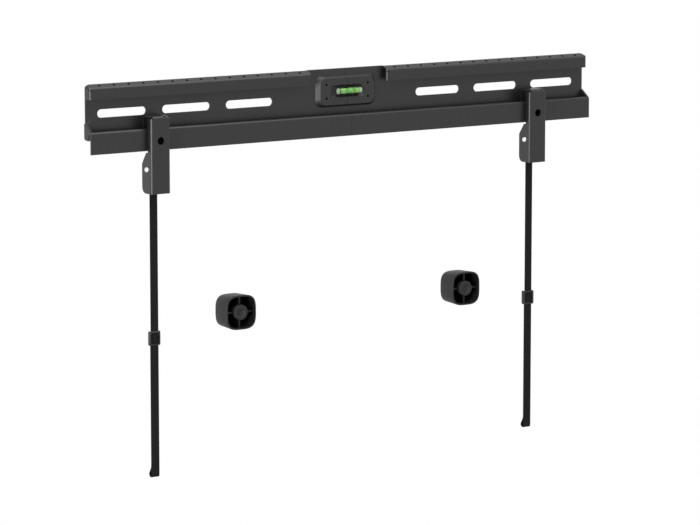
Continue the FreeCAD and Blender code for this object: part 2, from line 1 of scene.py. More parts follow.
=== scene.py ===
import math
import bpy
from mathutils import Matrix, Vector


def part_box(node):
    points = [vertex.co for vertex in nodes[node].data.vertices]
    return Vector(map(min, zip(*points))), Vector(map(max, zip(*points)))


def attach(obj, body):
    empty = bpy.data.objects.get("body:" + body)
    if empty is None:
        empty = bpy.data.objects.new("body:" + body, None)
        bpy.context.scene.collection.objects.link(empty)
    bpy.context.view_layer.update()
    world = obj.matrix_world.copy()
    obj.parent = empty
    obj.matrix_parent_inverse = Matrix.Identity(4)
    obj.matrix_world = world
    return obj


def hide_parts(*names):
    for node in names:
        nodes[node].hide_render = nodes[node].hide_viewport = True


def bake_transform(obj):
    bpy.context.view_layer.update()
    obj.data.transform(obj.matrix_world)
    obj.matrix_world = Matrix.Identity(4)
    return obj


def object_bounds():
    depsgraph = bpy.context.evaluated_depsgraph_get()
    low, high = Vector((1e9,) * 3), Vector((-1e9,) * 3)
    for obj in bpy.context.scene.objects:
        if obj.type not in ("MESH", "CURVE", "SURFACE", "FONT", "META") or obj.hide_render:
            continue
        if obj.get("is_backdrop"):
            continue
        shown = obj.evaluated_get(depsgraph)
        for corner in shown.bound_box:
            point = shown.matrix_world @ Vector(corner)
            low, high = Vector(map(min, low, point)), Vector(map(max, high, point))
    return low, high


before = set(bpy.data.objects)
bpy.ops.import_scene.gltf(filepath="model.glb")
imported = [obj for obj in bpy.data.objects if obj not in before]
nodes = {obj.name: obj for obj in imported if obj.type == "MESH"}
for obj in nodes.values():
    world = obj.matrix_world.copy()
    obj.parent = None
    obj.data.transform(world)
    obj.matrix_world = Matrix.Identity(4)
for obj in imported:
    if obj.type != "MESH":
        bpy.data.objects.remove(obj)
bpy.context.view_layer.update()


# Wall rail
# One strip of 2 mm sheet steel, punched, then folded into the nail flange, the plate and the trough.
# The ends of both nail flanges are turned back, and it is powder coated black in one piece after folding.
sheet = 0.002
rail_half = 0.329
rail_crest = 0.0319
rail_corner = 0.005
ear_half = 0.330
rail_foot = -0.0282
ear_corner = 0.003
flange_gap = 0.050
flange_front = -0.011
flange_foot = 0.0158
slope_back = 0.0339
slope_rise = 0.0059 / 0.011
fold_outer = 0.003
closed_end_depth = 0.0088
open_end_depth = 0.0034
relief_gap = 0.0006
undercut = 0.0001
overcut = 0.0005
weld = 1e-6
sliver = 5e-6
noise_low, noise_high = 0.3, 0.7


def finish(name, metallic, specular):
    """A new material with its shader, and the piece's own coordinates to draw its texture on."""
    material = bpy.data.materials.new(name)
    material.use_nodes = True
    tree = material.node_tree
    shader = tree.nodes["Principled BSDF"]
    shader.inputs["Metallic"].default_value = metallic
    shader.inputs["Specular IOR Level"].default_value = specular
    place = tree.nodes.new("ShaderNodeTexCoord").outputs["Object"]
    return material, tree, shader, place


def grain(tree, place, per_metre, detail, stretch=(1, 1, 1)):
    """Cloudy noise with about this many grains in a metre, drawn out along an axis where stretch is small."""
    mapping = tree.nodes.new("ShaderNodeMapping")
    mapping.inputs["Scale"].default_value = stretch
    noise = tree.nodes.new("ShaderNodeTexNoise")
    noise.inputs["Scale"].default_value = per_metre
    noise.inputs["Detail"].default_value = detail
    tree.links.new(place, mapping.inputs["Vector"])
    tree.links.new(mapping.outputs["Vector"], noise.inputs["Vector"])
    return noise.outputs["Fac"]


def tones(tree, noise, dark, light, start=noise_low, stop=noise_high):
    """A colour that goes from dark to light as the noise goes from start to stop."""
    ramp = tree.nodes.new("ShaderNodeValToRGB")
    for i, (position, colour) in enumerate(((start, dark), (stop, light))):
        ramp.color_ramp.elements[i].position = position
        ramp.color_ramp.elements[i].color = (*colour, 1)
    tree.links.new(noise, ramp.inputs["Fac"])
    return ramp.outputs["Color"]


def spread(tree, value, start, stop, low=0.0, high=1.0, curve="LINEAR"):
    """A number that goes from low to high as a value goes from start to stop."""
    node = tree.nodes.new("ShaderNodeMapRange")
    node.interpolation_type = curve
    for socket, number in (("From Min", start), ("From Max", stop), ("To Min", low), ("To Max", high)):
        node.inputs[socket].default_value = number
    tree.links.new(value, node.inputs["Value"])
    return node.outputs["Result"]


def shade(tree, shader, noise, dark, light, start=noise_low, stop=noise_high):
    """Runs a finish between two tones with the noise."""
    tree.links.new(tones(tree, noise, dark, light, start, stop), shader.inputs["Base Color"])


def roughen(tree, shader, noise, low, high):
    """Runs a finish's roughness between two values with the noise."""
    tree.links.new(spread(tree, noise, noise_low, noise_high, low, high), shader.inputs["Roughness"])


def relief(tree, shader, height, depth, strength):
    """Raises the surface by depth metres where the height is white."""
    bump = tree.nodes.new("ShaderNodeBump")
    bump.inputs["Strength"].default_value = strength
    bump.inputs["Distance"].default_value = depth
    tree.links.new(height, bump.inputs["Height"])
    tree.links.new(bump.outputs["Normal"], shader.inputs["Normal"])


powder_coat, tree, shader, place = finish("black_powder_coat", metallic=0.0, specular=0.5)
peel = grain(tree, place, per_metre=1500, detail=2)
shade(tree, shader, peel, dark=(0.0085, 0.0085, 0.0087), light=(0.0105, 0.0105, 0.0108))
roughen(tree, shader, peel, low=0.34, high=0.42)
relief(tree, shader, peel, depth=0.00002, strength=0.3)


def hold(piece):
    """Lets go of everything else and takes up one piece."""
    bpy.ops.object.select_all(action="DESELECT")
    piece.select_set(True)
    bpy.context.view_layer.objects.active = piece


def add_piece(name, mesh):
    """Puts a mesh in the scene as a new piece and takes it up."""
    piece = bpy.data.objects.new(name, mesh)
    bpy.context.scene.collection.objects.link(piece)
    hold(piece)
    return piece


def edit_all():
    """Opens the piece in hand for editing, with all of it selected."""
    bpy.ops.object.mode_set(mode="EDIT")
    bpy.ops.mesh.select_all(action="SELECT")


def cad_copy(name, node):
    """Copy of a CAD piece, with the loose triangles of its mesh joined up."""
    piece = add_piece(name, nodes[node].data.copy())
    edit_all()
    bpy.ops.mesh.remove_doubles(threshold=weld)
    bpy.ops.object.mode_set(mode="OBJECT")
    return piece


def draw_out(name, outline, shift):
    """Closed solid made by drawing a flat outline out along one direction."""
    mesh = bpy.data.meshes.new(name)
    mesh.from_pydata(outline, [], [tuple(range(len(outline)))])
    piece = add_piece(name, mesh)
    edit_all()
    bpy.ops.mesh.extrude_region_move(TRANSFORM_OT_translate={"value": shift})
    bpy.ops.mesh.select_all(action="SELECT")
    bpy.ops.mesh.normals_make_consistent(inside=False)
    bpy.ops.object.mode_set(mode="OBJECT")
    return piece


def combine(piece, tool, operation):
    """Cuts a tool's shape out of a piece, or welds it on, and clears the tool away."""
    hold(piece)
    step = piece.modifiers.new("step", "BOOLEAN")
    step.solver = "EXACT"
    step.operation = operation
    step.object = tool
    bpy.ops.object.modifier_apply(modifier="step")
    bpy.data.objects.remove(tool)


def smooth(degrees):
    """Shades the piece in hand smooth where its faces meet at less than this angle."""
    bpy.ops.object.shade_smooth_by_angle(angle=math.radians(degrees))


def coat(piece, material):
    """Puts one finish on the whole of a piece."""
    piece.data.materials.clear()
    piece.data.materials.append(material)


def under_slope(y, below):
    """Height at one depth under the nail flange's slope, this far below its upper face."""
    return slope_back + slope_rise * y - below * math.hypot(1, slope_rise)


def quarter(middle, radius, start, turn):
    """Points of a quarter circle about a middle, as pairs."""
    steps = [start + turn * i * math.pi / 12 for i in range(7)]
    return [(middle[0] + radius * math.cos(a), middle[1] + radius * math.sin(a)) for a in steps]


def turn_back_end(end, inward, depth):
    """Cuts the front of a nail flange free of its slope at one end, and folds it back to a depth."""
    outside = end - inward * overcut
    front, back, foot = flange_front - sheet, -2 * sheet, flange_foot - sheet
    inside_slope = sheet - undercut
    profile = [(front, foot), (back, foot),
               (back, under_slope(back, inside_slope)), (front, under_slope(front, inside_slope))]
    notch = draw_out("notch", [(outside, y, z) for y, z in profile],
                     (inward * (fold_outer + overcut), 0, 0))
    combine(rail, notch, "DIFFERENCE")
    middle = (end + inward * fold_outer, flange_front + fold_outer)
    outer = quarter(middle, fold_outer, -math.pi / 2, -inward)
    inner = quarter(middle, fold_outer - sheet, -math.pi / 2, -inward)
    plan = outer + [(outside, middle[1]), (outside, front), (middle[0], front)]
    waste = draw_out("corner_waste", [(x, y, foot) for x, y in plan], (0, 0, slope_back - flange_foot))
    combine(rail, waste, "DIFFERENCE")
    seam = end + inward * (fold_outer + relief_gap)
    tip = flange_front + depth
    plan = ([(seam, flange_front)] + outer + [(end, tip), (end + inward * sheet, tip)]
            + inner[::-1] + [(seam, flange_front + sheet)])
    turned = draw_out("turned_end", [(x, y, flange_foot) for x, y in plan], (0, 0, sheet))
    for corner in turned.data.vertices:
        if corner.co.z > flange_foot + sheet / 2:
            corner.co.z = under_slope(corner.co.y, sheet + relief_gap)
    combine(rail, turned, "UNION")


def round_corner(side, half, edge, up, radius, front):
    """Rounds a corner of the rail, as seen from the front, through all of the sheet behind a depth."""
    middle = (half - radius, edge - up * radius)
    far, past = half + overcut, edge + up * 2 * overcut
    outline = quarter(middle, radius, 0, up) + [(middle[0], past), (far, past), (far, middle[1])]
    waste = draw_out("corner_waste", [(side * x, front, z) for x, z in outline], (0, overcut - front, 0))
    combine(rail, waste, "DIFFERENCE")


rail = cad_copy("rail_sheet", "wall_plate")
turn_back_end(-rail_half, 1, closed_end_depth)
turn_back_end(-flange_gap, -1, open_end_depth)
turn_back_end(flange_gap, 1, open_end_depth)
turn_back_end(rail_half, -1, closed_end_depth)
for side in (-1, 1):
    round_corner(side, rail_half, rail_crest, 1, rail_corner, flange_front - sheet)
    round_corner(side, ear_half, rail_foot, -1, ear_corner, -3 * sheet)
edit_all()
bpy.ops.mesh.remove_doubles(threshold=sliver)
bpy.ops.mesh.dissolve_degenerate(threshold=sliver)
bpy.ops.object.mode_set(mode="OBJECT")
smooth(25)
flats = rail.modifiers.new("flats", "WEIGHTED_NORMAL")
flats.weight = 100
flats.keep_sharp = True
bpy.ops.object.modifier_apply(modifier="flats")
coat(rail, powder_coat)
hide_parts("wall_plate")
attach(rail, "rail")


# Level housing
# Moulded ABS holder that is screwed on the plate between the two nail flanges and cradles the vial.
# Its mould is spark eroded, which leaves a fine even matt grain.
def dress(material, *names):
    """Puts a finish on CAD pieces."""
    for name in names:
        coat(nodes[name], material)


housing_black, tree, shader, place = finish("spark_eroded_black", metallic=0.0, specular=0.5)
spark = grain(tree, place, per_metre=2600, detail=3)
clouds = grain(tree, place, per_metre=90, detail=3)
shade(tree, shader, clouds, dark=(0.0085, 0.0085, 0.0085), light=(0.0110, 0.0110, 0.0110))
roughen(tree, shader, spark, low=0.45, high=0.6)
relief(tree, shader, spark, depth=0.00004, strength=0.4)
dress(housing_black, "level_housing")


# Level screws
# Four countersunk steel screws, blackened and oiled, flush with the housing's face.
# Their dished heads are turned, so they look a little lighter than the moulding round them. Deeper in each
# socket the colour is painted near black, as painted shade.
housing_face = -0.0068
screw_columns = (-0.0274, 0.0274)
screw_rows = (-0.0004, 0.0148)
head_half = 0.0033
head_depth = 0.0017
dish_half = 0.0029
dish_depth = 0.0003
socket_half = 0.0014
socket_depth = 0.0012
socket_point = 0.0022
shank_half = 0.0015
screw_length = 0.0065
# Depths below the face over which the sockets turn to painted shade.
socket_shade_from, socket_shade_to = 0.00028, 0.00050


def position(tree, place, axis):
    """Place along one axis, in metres."""
    axes = tree.nodes.new("ShaderNodeSeparateXYZ")
    tree.links.new(place, axes.inputs["Vector"])
    return axes.outputs[axis]


def tint(tree, factor, first, second):
    """Mixes two colours, each a plain colour or another node's result."""
    mix = tree.nodes.new("ShaderNodeMix")
    mix.data_type = "RGBA"
    tree.links.new(factor, mix.inputs["Factor"])
    for socket, colour in zip([s for s in mix.inputs if s.type == "RGBA"], (first, second)):
        if isinstance(colour, tuple):
            socket.default_value = (*colour, 1)
        else:
            tree.links.new(colour, socket)
    return [s for s in mix.outputs if s.type == "RGBA"][0]


screw_black, tree, shader, place = finish("blackened_steel", metallic=1.0, specular=0.5)
lathe = grain(tree, place, per_metre=900, detail=2, stretch=(1, 0.2, 1))
head_tones = tones(tree, lathe, dark=(0.045, 0.045, 0.045), light=(0.062, 0.062, 0.062))
# Painted shade: below these depths the socket's colour goes near black, where shade falls in it.
painted_socket_shade = spread(tree, position(tree, place, "Y"),
                   housing_face + socket_shade_from, housing_face + socket_shade_to)
tree.links.new(tint(tree, painted_socket_shade, head_tones, (0.003, 0.003, 0.003)), shader.inputs["Base Color"])
roughen(tree, shader, lathe, low=0.40, high=0.52)
relief(tree, shader, lathe, depth=0.00003, strength=0.3)


def spin_round(name, section, steps, centre, axis):
    """Turned piece: half of its section, spun all the way round an axis."""
    mesh = bpy.data.meshes.new(name)
    mesh.from_pydata(section, [(i, i + 1) for i in range(len(section) - 1)], [])
    piece = add_piece(name, mesh)
    edit_all()
    bpy.ops.mesh.spin(steps=steps, angle=2 * math.pi, center=centre, axis=axis)
    bpy.ops.mesh.select_all(action="SELECT")
    bpy.ops.mesh.remove_doubles(threshold=weld)
    bpy.ops.mesh.normals_make_consistent(inside=False)
    bpy.ops.object.mode_set(mode="OBJECT")
    return piece


section = [(0, socket_point), (socket_half, socket_depth), (socket_half, dish_depth), (dish_half, 0),
           (head_half, 0), (shank_half, head_depth), (shank_half, screw_length), (0, screw_length)]
heads = [spin_round("screw", [(x + radius, housing_face + depth, z) for radius, depth in section],
                    steps=40, centre=(x, 0, z), axis=(0, 1, 0))
         for x in screw_columns for z in screw_rows]
for head in heads:
    head.select_set(True)
bpy.ops.object.join()
screws = bpy.context.object
screws.name = "dished_screws"
smooth(30)
coat(screws, screw_black)
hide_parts("level_screws")
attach(screws, "rail")


# Vial of the level
# Clear acrylic tube with a milky closed end and a pressed plug, filled with green spirit and a bubble.
# Two thin dark rings are printed round it, one on each side of the bubble's place.
vial_axis = Vector((0, -0.008, 0.0072))
vial_right = 0.0169
vial_radius = 0.0037
vial_bore = 0.0026
closed_end = -0.0139
closed_end_wall = 0.002
closed_end_round = 0.0015
mouth_round = 0.0009
milky_from, milky_to = 0.0001, 0.0009
ring_middle = -0.0028
ring_at = 0.0088
ring_inside, ring_outside = 0.00021, 0.00039
bubble_at = -0.0024
bubble_inside, bubble_outside = 0.0014, 0.0038


def reckon(tree, operation, *terms):
    """Result of a sum on terms that are plain numbers or other nodes' results."""
    node = tree.nodes.new("ShaderNodeMath")
    node.operation = operation
    for socket, term in zip(node.inputs, terms):
        if isinstance(term, float):
            socket.default_value = term
        else:
            tree.links.new(term, socket)
    return node.outputs["Value"]


def along_vial(tree, place, start):
    """Distance in metres along the vial from a place on it, with its sign."""
    return reckon(tree, "SUBTRACT", position(tree, place, "X"), start)


def fade(tree, value, start, stop):
    """Goes smoothly from 0 at start to 1 at stop."""
    return spread(tree, value, start, stop, curve="SMOOTHSTEP")


vial_clear, tree, shader, place = finish("clear_acrylic", metallic=0.0, specular=0.5)
shader.inputs["IOR"].default_value = 1.45
off_middle = reckon(tree, "ABSOLUTE", along_vial(tree, place, ring_middle))
off_ring = reckon(tree, "ABSOLUTE", reckon(tree, "SUBTRACT", off_middle, ring_at))
clear_of_ring = fade(tree, off_ring, ring_inside, ring_outside)
clear_of_end = fade(tree, along_vial(tree, place, closed_end), milky_from, milky_to)
tube_tone = tint(tree, clear_of_end, (0.27, 0.36, 0.21), (0.93, 1.0, 0.9))
tree.links.new(tint(tree, clear_of_ring, (0.05, 0.12, 0.03), tube_tone), shader.inputs["Base Color"])
clear = reckon(tree, "MULTIPLY", clear_of_ring, clear_of_end)
tree.links.new(clear, shader.inputs["Transmission Weight"])
roughen(tree, shader, grain(tree, place, per_metre=700, detail=2), low=0.02, high=0.07)

arc = [i * math.pi / 12 for i in range(7)]
section = [(closed_end, 0)]
section += [(closed_end + closed_end_round * (1 - math.cos(a)),
             vial_radius - closed_end_round * (1 - math.sin(a))) for a in arc]
section += [(vial_right - mouth_round * (1 - math.sin(a)),
             vial_radius - mouth_round * (1 - math.cos(a))) for a in arc]
section += [(vial_right, vial_bore), (closed_end + closed_end_wall, vial_bore),
            (closed_end + closed_end_wall, 0)]
vial = spin_round("vial_glass", [(x, vial_axis.y, vial_axis.z + radius) for x, radius in section],
                  steps=64, centre=vial_axis, axis=(1, 0, 0))
smooth(40)
coat(vial, vial_clear)
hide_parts("vial_tube")
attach(vial, "rail")

plug_pale, tree, shader, place = finish("milky_plug", metallic=0.0, specular=0.5)
milky = grain(tree, place, per_metre=600, detail=3)
shade(tree, shader, milky, dark=(0.32, 0.34, 0.29), light=(0.42, 0.44, 0.38))
roughen(tree, shader, milky, low=0.2, high=0.32)
dress(plug_pale, "vial_plug")

spirit_green, tree, shader, place = finish("green_spirit", metallic=0.0, specular=0.5)
spirit = tones(tree, grain(tree, place, per_metre=160, detail=2), (0.140, 0.42, 0.025), (0.180, 0.47, 0.040))
# Painted shade: the spirit goes a darker teal round the bubble, for the look of light bent at its edge.
off_bubble_shade = fade(tree, reckon(tree, "ABSOLUTE", along_vial(tree, place, bubble_at)),
                  bubble_inside, bubble_outside)
tree.links.new(tint(tree, off_bubble_shade, (0.045, 0.35, 0.055), spirit), shader.inputs["Base Color"])
shader.inputs["Roughness"].default_value = 0.12
dress(spirit_green, "vial_fluid")


# Hooks
# Each is blanked from the same 2 mm sheet, folded to a channel with a flange and tongue over the rail,
# and powder coated with it. A screw through its round hole fixes it on the back of the television.
dress(powder_coat, "hook_bracket_left", "hook_bracket_right")


# Latch levers
# Small die-cast zinc levers inside the hooks, painted black.
# They turn on the pin, catch behind the rail's lip and carry the strap on a cross bar.
cast_black, tree, shader, place = finish("painted_casting", metallic=0.0, specular=0.5)
cast = grain(tree, place, per_metre=700, detail=4)
shade(tree, shader, cast, dark=(0.006, 0.006, 0.006), light=(0.010, 0.010, 0.010))
roughen(tree, shader, cast, low=0.36, high=0.5)
relief(tree, shader, cast, depth=0.00008, strength=0.4)
dress(cast_black, "latch_lever_left", "latch_lever_right")


# Latch pins
# Bright plated steel rivets that the levers turn on.
# Each is headed to a dome on both sides of its hook.
pin_bright, tree, shader, place = finish("bright_rivet", metallic=1.0, specular=0.5)
polish = grain(tree, place, per_metre=420, detail=3)
shade(tree, shader, polish, dark=(0.70, 0.70, 0.71), light=(0.84, 0.84, 0.85))
roughen(tree, shader, polish, low=0.16, high=0.28)
relief(tree, shader, polish, depth=0.00005, strength=0.3)
dress(pin_bright, "latch_pin_left", "latch_pin_right")


# Latch springs
# Torsion springs of drawn steel wire, wound on the pin.
# On the real latch one leg stays on the hook and the other follows the lever, so the coil twists as the latch
# turns; here each spring is a still, smoothed copy of the CAD spring.
sides = (("left", -1), ("right", 1))
hook_x = 0.250

spring_wire, tree, shader, place = finish("drawn_wire", metallic=1.0, specular=0.5)
drawn = grain(tree, place, per_metre=800, detail=3, stretch=(4, 1, 1))
shade(tree, shader, drawn, dark=(0.36, 0.36, 0.37), light=(0.55, 0.55, 0.56))
roughen(tree, shader, drawn, low=0.22, high=0.38)

for side, sign in sides:
    spring = cad_copy("wound_spring_" + side, "latch_spring_" + side)
    smooth(50)
    coat(spring, spring_wire)
    x = sign * hook_x
    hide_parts("latch_spring_" + side)
    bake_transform(spring)


# Strap keepers
# Square slides moulded in acetal, with two bars before the strap and one behind.
# They are threaded on the strap and hold its turned-up end.
strap_width = 0.0095
keeper_z = -0.2466
keeper_wide = 0.0142
keeper_tall = 0.0158
keeper_wall = 0.0009
keeper_play = 0.0003
keeper_corner = 0.0016
keeper_edge = 0.00028
front_bar = 0.0020
rear_bar = 0.0040
cut_past = 0.001

keeper_black, tree, shader, place = finish("moulded_acetal", metallic=0.0, specular=0.45)
moulded = grain(tree, place, per_metre=1400, detail=3)
clouds = grain(tree, place, per_metre=150, detail=3)
shade(tree, shader, clouds, dark=(0.004, 0.004, 0.004), light=(0.006, 0.006, 0.006))
roughen(tree, shader, moulded, low=0.34, high=0.46)
relief(tree, shader, moulded, depth=0.00004, strength=0.35)


def block(name, low, high):
    """Plain rectangular block between two corners."""
    bpy.ops.object.select_all(action="DESELECT")
    bpy.ops.mesh.primitive_cube_add(size=1, location=[(a + b) / 2 for a, b in zip(low, high)])
    piece = bpy.context.object
    piece.name = name
    piece.scale = [b - a for a, b in zip(low, high)]
    bpy.ops.object.transform_apply(location=True, rotation=True, scale=True)
    return piece


def round_edges(piece, width, segments, degrees):
    """Rounds the edges of the piece in hand where its faces meet at more than this angle."""
    rounding = piece.modifiers.new("rounding", "BEVEL")
    rounding.width = width
    rounding.segments = segments
    rounding.limit_method = "ANGLE"
    rounding.angle_limit = math.radians(degrees)
    bpy.ops.object.modifier_apply(modifier="rounding")


for side, sign in sides:
    low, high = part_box("strap_keeper_" + side)
    x = sign * hook_x
    front, back = low[1], high[1]
    middle = (front + back) / 2
    half, reach = keeper_wide / 2, keeper_tall / 2
    keeper = block("strap_slide_" + side,
                   (x - half, front, keeper_z - reach), (x + half, back, keeper_z + reach))
    bpy.ops.object.mode_set(mode="EDIT")
    bpy.ops.mesh.select_all(action="DESELECT")
    bpy.ops.object.mode_set(mode="OBJECT")
    for edge in keeper.data.edges:
        a, b = (keeper.data.vertices[i].co for i in edge.vertices)
        edge.select = abs(a.y - b.y) > (back - front) / 2
    bpy.ops.object.mode_set(mode="EDIT")
    bpy.ops.mesh.select_mode(type="EDGE")
    bpy.ops.mesh.bevel(offset=keeper_corner, segments=5, affect="EDGES")
    bpy.ops.object.mode_set(mode="OBJECT")
    inside = strap_width / 2 + keeper_play
    bars = reach - front_bar
    rear_half = rear_bar / 2
    for near, far, foot, top in ((front + keeper_wall, back - keeper_wall, -2 * reach, 2 * reach),
                                 (front - cut_past, middle, -bars, bars),
                                 (middle, back + cut_past, rear_half, 2 * reach),
                                 (middle, back + cut_past, -2 * reach, -rear_half)):
        room = block("room", (x - inside, near, keeper_z + foot), (x + inside, far, keeper_z + top))
        combine(keeper, room, "DIFFERENCE")
    round_edges(keeper, keeper_edge, segments=3, degrees=40)
    smooth(35)
    coat(keeper, keeper_black)
    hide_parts("strap_keeper_" + side)
    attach(keeper, "keeper_" + side)


# Pull straps
# Flat woven nylon webbing, looped round the lever's bar and sewn to itself inside the hook.
# It hangs straight down, turns up in a soft fold at its end and runs back up behind itself to the keeper.
bar = Vector((hook_x, -0.00700, -0.06010))
strap_foot = -0.3996
strap_thick = 0.00092
strap_strips = 6
layer_step = 0.00105
selvedge = 0.00022
loop_half = 0.0030
loop_neck = 0.0046
seam_half = 0.0033
seam_top = 0.0075
seam_foot = 0.0225
stitch = 0.0021
stitch_out, stitch_in = 0.00016, -0.0003
thread_half = 0.00024
double_weld = 1e-7
bands_per_scale = 0.314


def ribs(tree, place, direction, per_metre):
    """Even ribs across one direction, this many in a metre."""
    node = tree.nodes.new("ShaderNodeTexWave")
    node.bands_direction = direction
    node.inputs["Scale"].default_value = per_metre * bands_per_scale
    tree.links.new(place, node.inputs["Vector"])
    return node.outputs["Fac"]


webbing, tree, shader, place = finish("black_webbing", metallic=0.0, specular=0.2)
warp = ribs(tree, place, "X", per_metre=1250)
weft = ribs(tree, place, "Z", per_metre=900)
woven = reckon(tree, "MULTIPLY", warp, weft)
shade(tree, shader, woven, dark=(0.003, 0.003, 0.003), light=(0.010, 0.010, 0.0105), start=0.1, stop=0.8)
shader.inputs["Roughness"].default_value = 0.8
shader.inputs["Sheen Weight"].default_value = 0.03
shader.inputs["Sheen Roughness"].default_value = 0.4
relief(tree, shader, woven, depth=0.00018, strength=0.7)

sewing_thread, tree, shader, place = finish("sewing_thread", metallic=0.0, specular=0.3)
twist = grain(tree, place, per_metre=2200, detail=2, stretch=(1, 1, 0.5))
shade(tree, shader, twist, dark=(0.006, 0.006, 0.006), light=(0.016, 0.016, 0.016))
shader.inputs["Roughness"].default_value = 0.6
relief(tree, shader, twist, depth=0.00005, strength=0.5)


def soft_curve(name, points, resolution):
    """Smooth open curve led by control points."""
    curve = bpy.data.curves.new(name, "CURVE")
    curve.dimensions = "3D"
    curve.resolution_u = resolution
    line = curve.splines.new("NURBS")
    line.points.add(len(points) - 1)
    for control, point in zip(line.points, points):
        control.co = (*point, 1)
    line.order_u = 3
    line.use_endpoint_u = True
    return curve


def curve_points(name, points):
    """Points along a smooth curve, as its own mesh gives them."""
    curve = soft_curve(name, points, resolution=12)
    holder = bpy.data.objects.new(name, curve)
    mesh = bpy.data.meshes.new_from_object(holder)
    found = [v.co.copy() for v in mesh.vertices]
    bpy.data.meshes.remove(mesh)
    bpy.data.objects.remove(holder)
    bpy.data.curves.remove(curve)
    return found


def join_up():
    """Merges corners that lie together in the piece in hand and turns its faces outward."""
    edit_all()
    bpy.ops.mesh.remove_doubles(threshold=double_weld)
    bpy.ops.mesh.normals_make_consistent(inside=False)
    bpy.ops.object.mode_set(mode="OBJECT")


def sew_seam(side, x):
    """Box of stitches that holds the loop's end on the strap, one thread on each face of the webbing."""
    name = "seam_thread_" + side
    top, foot = bar.z - seam_top, bar.z - seam_foot
    corners = [(-seam_half, top), (seam_half, top), (seam_half, foot), (-seam_half, foot),
               (-seam_half, top), (seam_half, foot)]
    threads = []
    for face, out in ((bar.y + layer_step + strap_thick / 2, 1), (bar.y - strap_thick / 2, -1)):
        points = []
        for (u0, v0), (u1, v1) in zip(corners, corners[1:]):
            count = 2 * round(math.hypot(u1 - u0, v1 - v0) / stitch)
            for i in range(count):
                along = i / count
                lift = stitch_out if i % 2 else stitch_in
                points.append((x + u0 + (u1 - u0) * along, face + out * lift, v0 + (v1 - v0) * along))
        curve = soft_curve(name, points, resolution=4)
        curve.bevel_depth = thread_half
        curve.bevel_resolution = 2
        curve.use_fill_caps = True
        threads.append(add_piece(name, curve))
    hold(threads[0])
    threads[1].select_set(True)
    bpy.ops.object.convert(target="MESH")
    bpy.ops.object.join()
    seam = bpy.context.object
    join_up()
    bpy.ops.object.shade_smooth()
    seam.name = name
    coat(seam, sewing_thread)
    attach(seam, "strap_" + side)
    return seam


for side, sign in sides:
    name = "strap_webbing_" + side
    x = sign * bar.x
    y, z = bar.y, bar.z
    rear = y + layer_step
    loop = [(rear, z - 0.0248), (rear, z - 0.0140), (rear, z - loop_neck),
            (y + loop_half, z - 0.0018), (y + loop_half, z + 0.0019), (y, z + 0.0033),
            (y - loop_half, z + 0.0019), (y - loop_half, z - 0.0018), (y, z - loop_neck), (y, z - 0.0140)]
    hang = [(y, z - 0.060), (y, z - 0.160), (y, z - 0.260), (y, strap_foot + 0.020)]
    fold = [(y, strap_foot + 0.0062), (y + 0.0001, strap_foot + 0.0006), (y + 0.0036, strap_foot + 0.0006),
            (y + 0.0061, strap_foot + 0.0028), (y + 0.0038, strap_foot + 0.0072),
            (rear, strap_foot + 0.0110)]
    back_up = [(rear, strap_foot + 0.020), (rear, keeper_z - 0.060), (rear, keeper_z - 0.004)]
    line = curve_points(name + "_line", [(x, a, b) for a, b in loop + hang + fold + back_up])
    mesh = bpy.data.meshes.new(name)
    mesh.from_pydata([(x - strap_width / 2, p.y, p.z) for p in line],
                     [(i, i + 1) for i in range(len(line) - 1)], [])
    strap = add_piece(name, mesh)
    edit_all()
    for strip in range(strap_strips):
        bpy.ops.mesh.extrude_region_move(
            TRANSFORM_OT_translate={"value": (strap_width / strap_strips, 0, 0)})
    bpy.ops.object.mode_set(mode="OBJECT")
    join_up()
    thick = strap.modifiers.new("thickness", "SOLIDIFY")
    thick.thickness = strap_thick
    thick.offset = 0
    bpy.ops.object.modifier_apply(modifier="thickness")
    round_edges(strap, selvedge, segments=2, degrees=50)
    smooth(40)
    coat(strap, webbing)
    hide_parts("pull_strap_" + side)
    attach(strap, "strap_" + side)
    route = [(x, y, z)] + [(x, a, b) for a, b in hang] + [(x, y + 0.0005, strap_foot + 0.0004)]
    route = curve_points(name + "_route", route)
    sew_seam(side, x)


# Wall bumpers
# Deep moulded polypropylene cups with cross ribs and a bored boss.
# They are fixed on the television's back, and keep its foot off the wall.
cup_rim = 0.0190
cup_back = 0.0180
cup_depth = 0.027
cup_wall = 0.0017
cup_floor = 0.0025
back_edge = 0.003
rim_edge = 0.0009
bulge = 3.4
rib_half = 0.0008
rib_front = -0.0227
boss_half = 0.0080
boss_front = -0.021
boss_edge = 0.0012
boss_room = 0.0084
foot_stem = 0.0055
foot_stem_end = -0.015
screw_hole = 0.00225

bumper_black, tree, shader, place = finish("moulded_polypropylene", metallic=0.0, specular=0.34)
flow = grain(tree, place, per_metre=1100, detail=3)
clouds = grain(tree, place, per_metre=60, detail=3)
shade(tree, shader, clouds, dark=(0.005, 0.005, 0.005), light=(0.007, 0.007, 0.007))
roughen(tree, shader, flow, low=0.42, high=0.56)
relief(tree, shader, flow, depth=0.00006, strength=0.4)


def middle_of(node):
    """Place of a CAD piece's middle, across and up."""
    low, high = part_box(node)
    return (low[0] + high[0]) / 2, (low[2] + high[2]) / 2


def round_bar(name, radius, x, z, front, back):
    """Round bar along the depth axis."""
    bpy.ops.object.select_all(action="DESELECT")
    bpy.ops.mesh.primitive_cylinder_add(vertices=64, radius=radius, depth=back - front,
                                        location=(x, (front + back) / 2, z), rotation=(math.pi / 2, 0, 0))
    piece = bpy.context.object
    piece.name = name
    bpy.ops.object.transform_apply(location=True, rotation=True, scale=True)
    return piece


arc = [i * math.pi / 10 for i in range(1, 6)]
steps = [(cup_back - back_edge, 0)]
steps += [(cup_back - back_edge * (1 - math.sin(a)), -back_edge * (1 - math.cos(a))) for a in arc]
steps += [(cup_rim, rim_edge - cup_depth)]
steps += [(cup_rim - rim_edge * (1 - math.cos(a)), rim_edge * (1 - math.sin(a)) - cup_depth) for a in arc]
steps += [(cup_rim - cup_wall, -cup_depth), (cup_back - cup_wall, -cup_floor)]

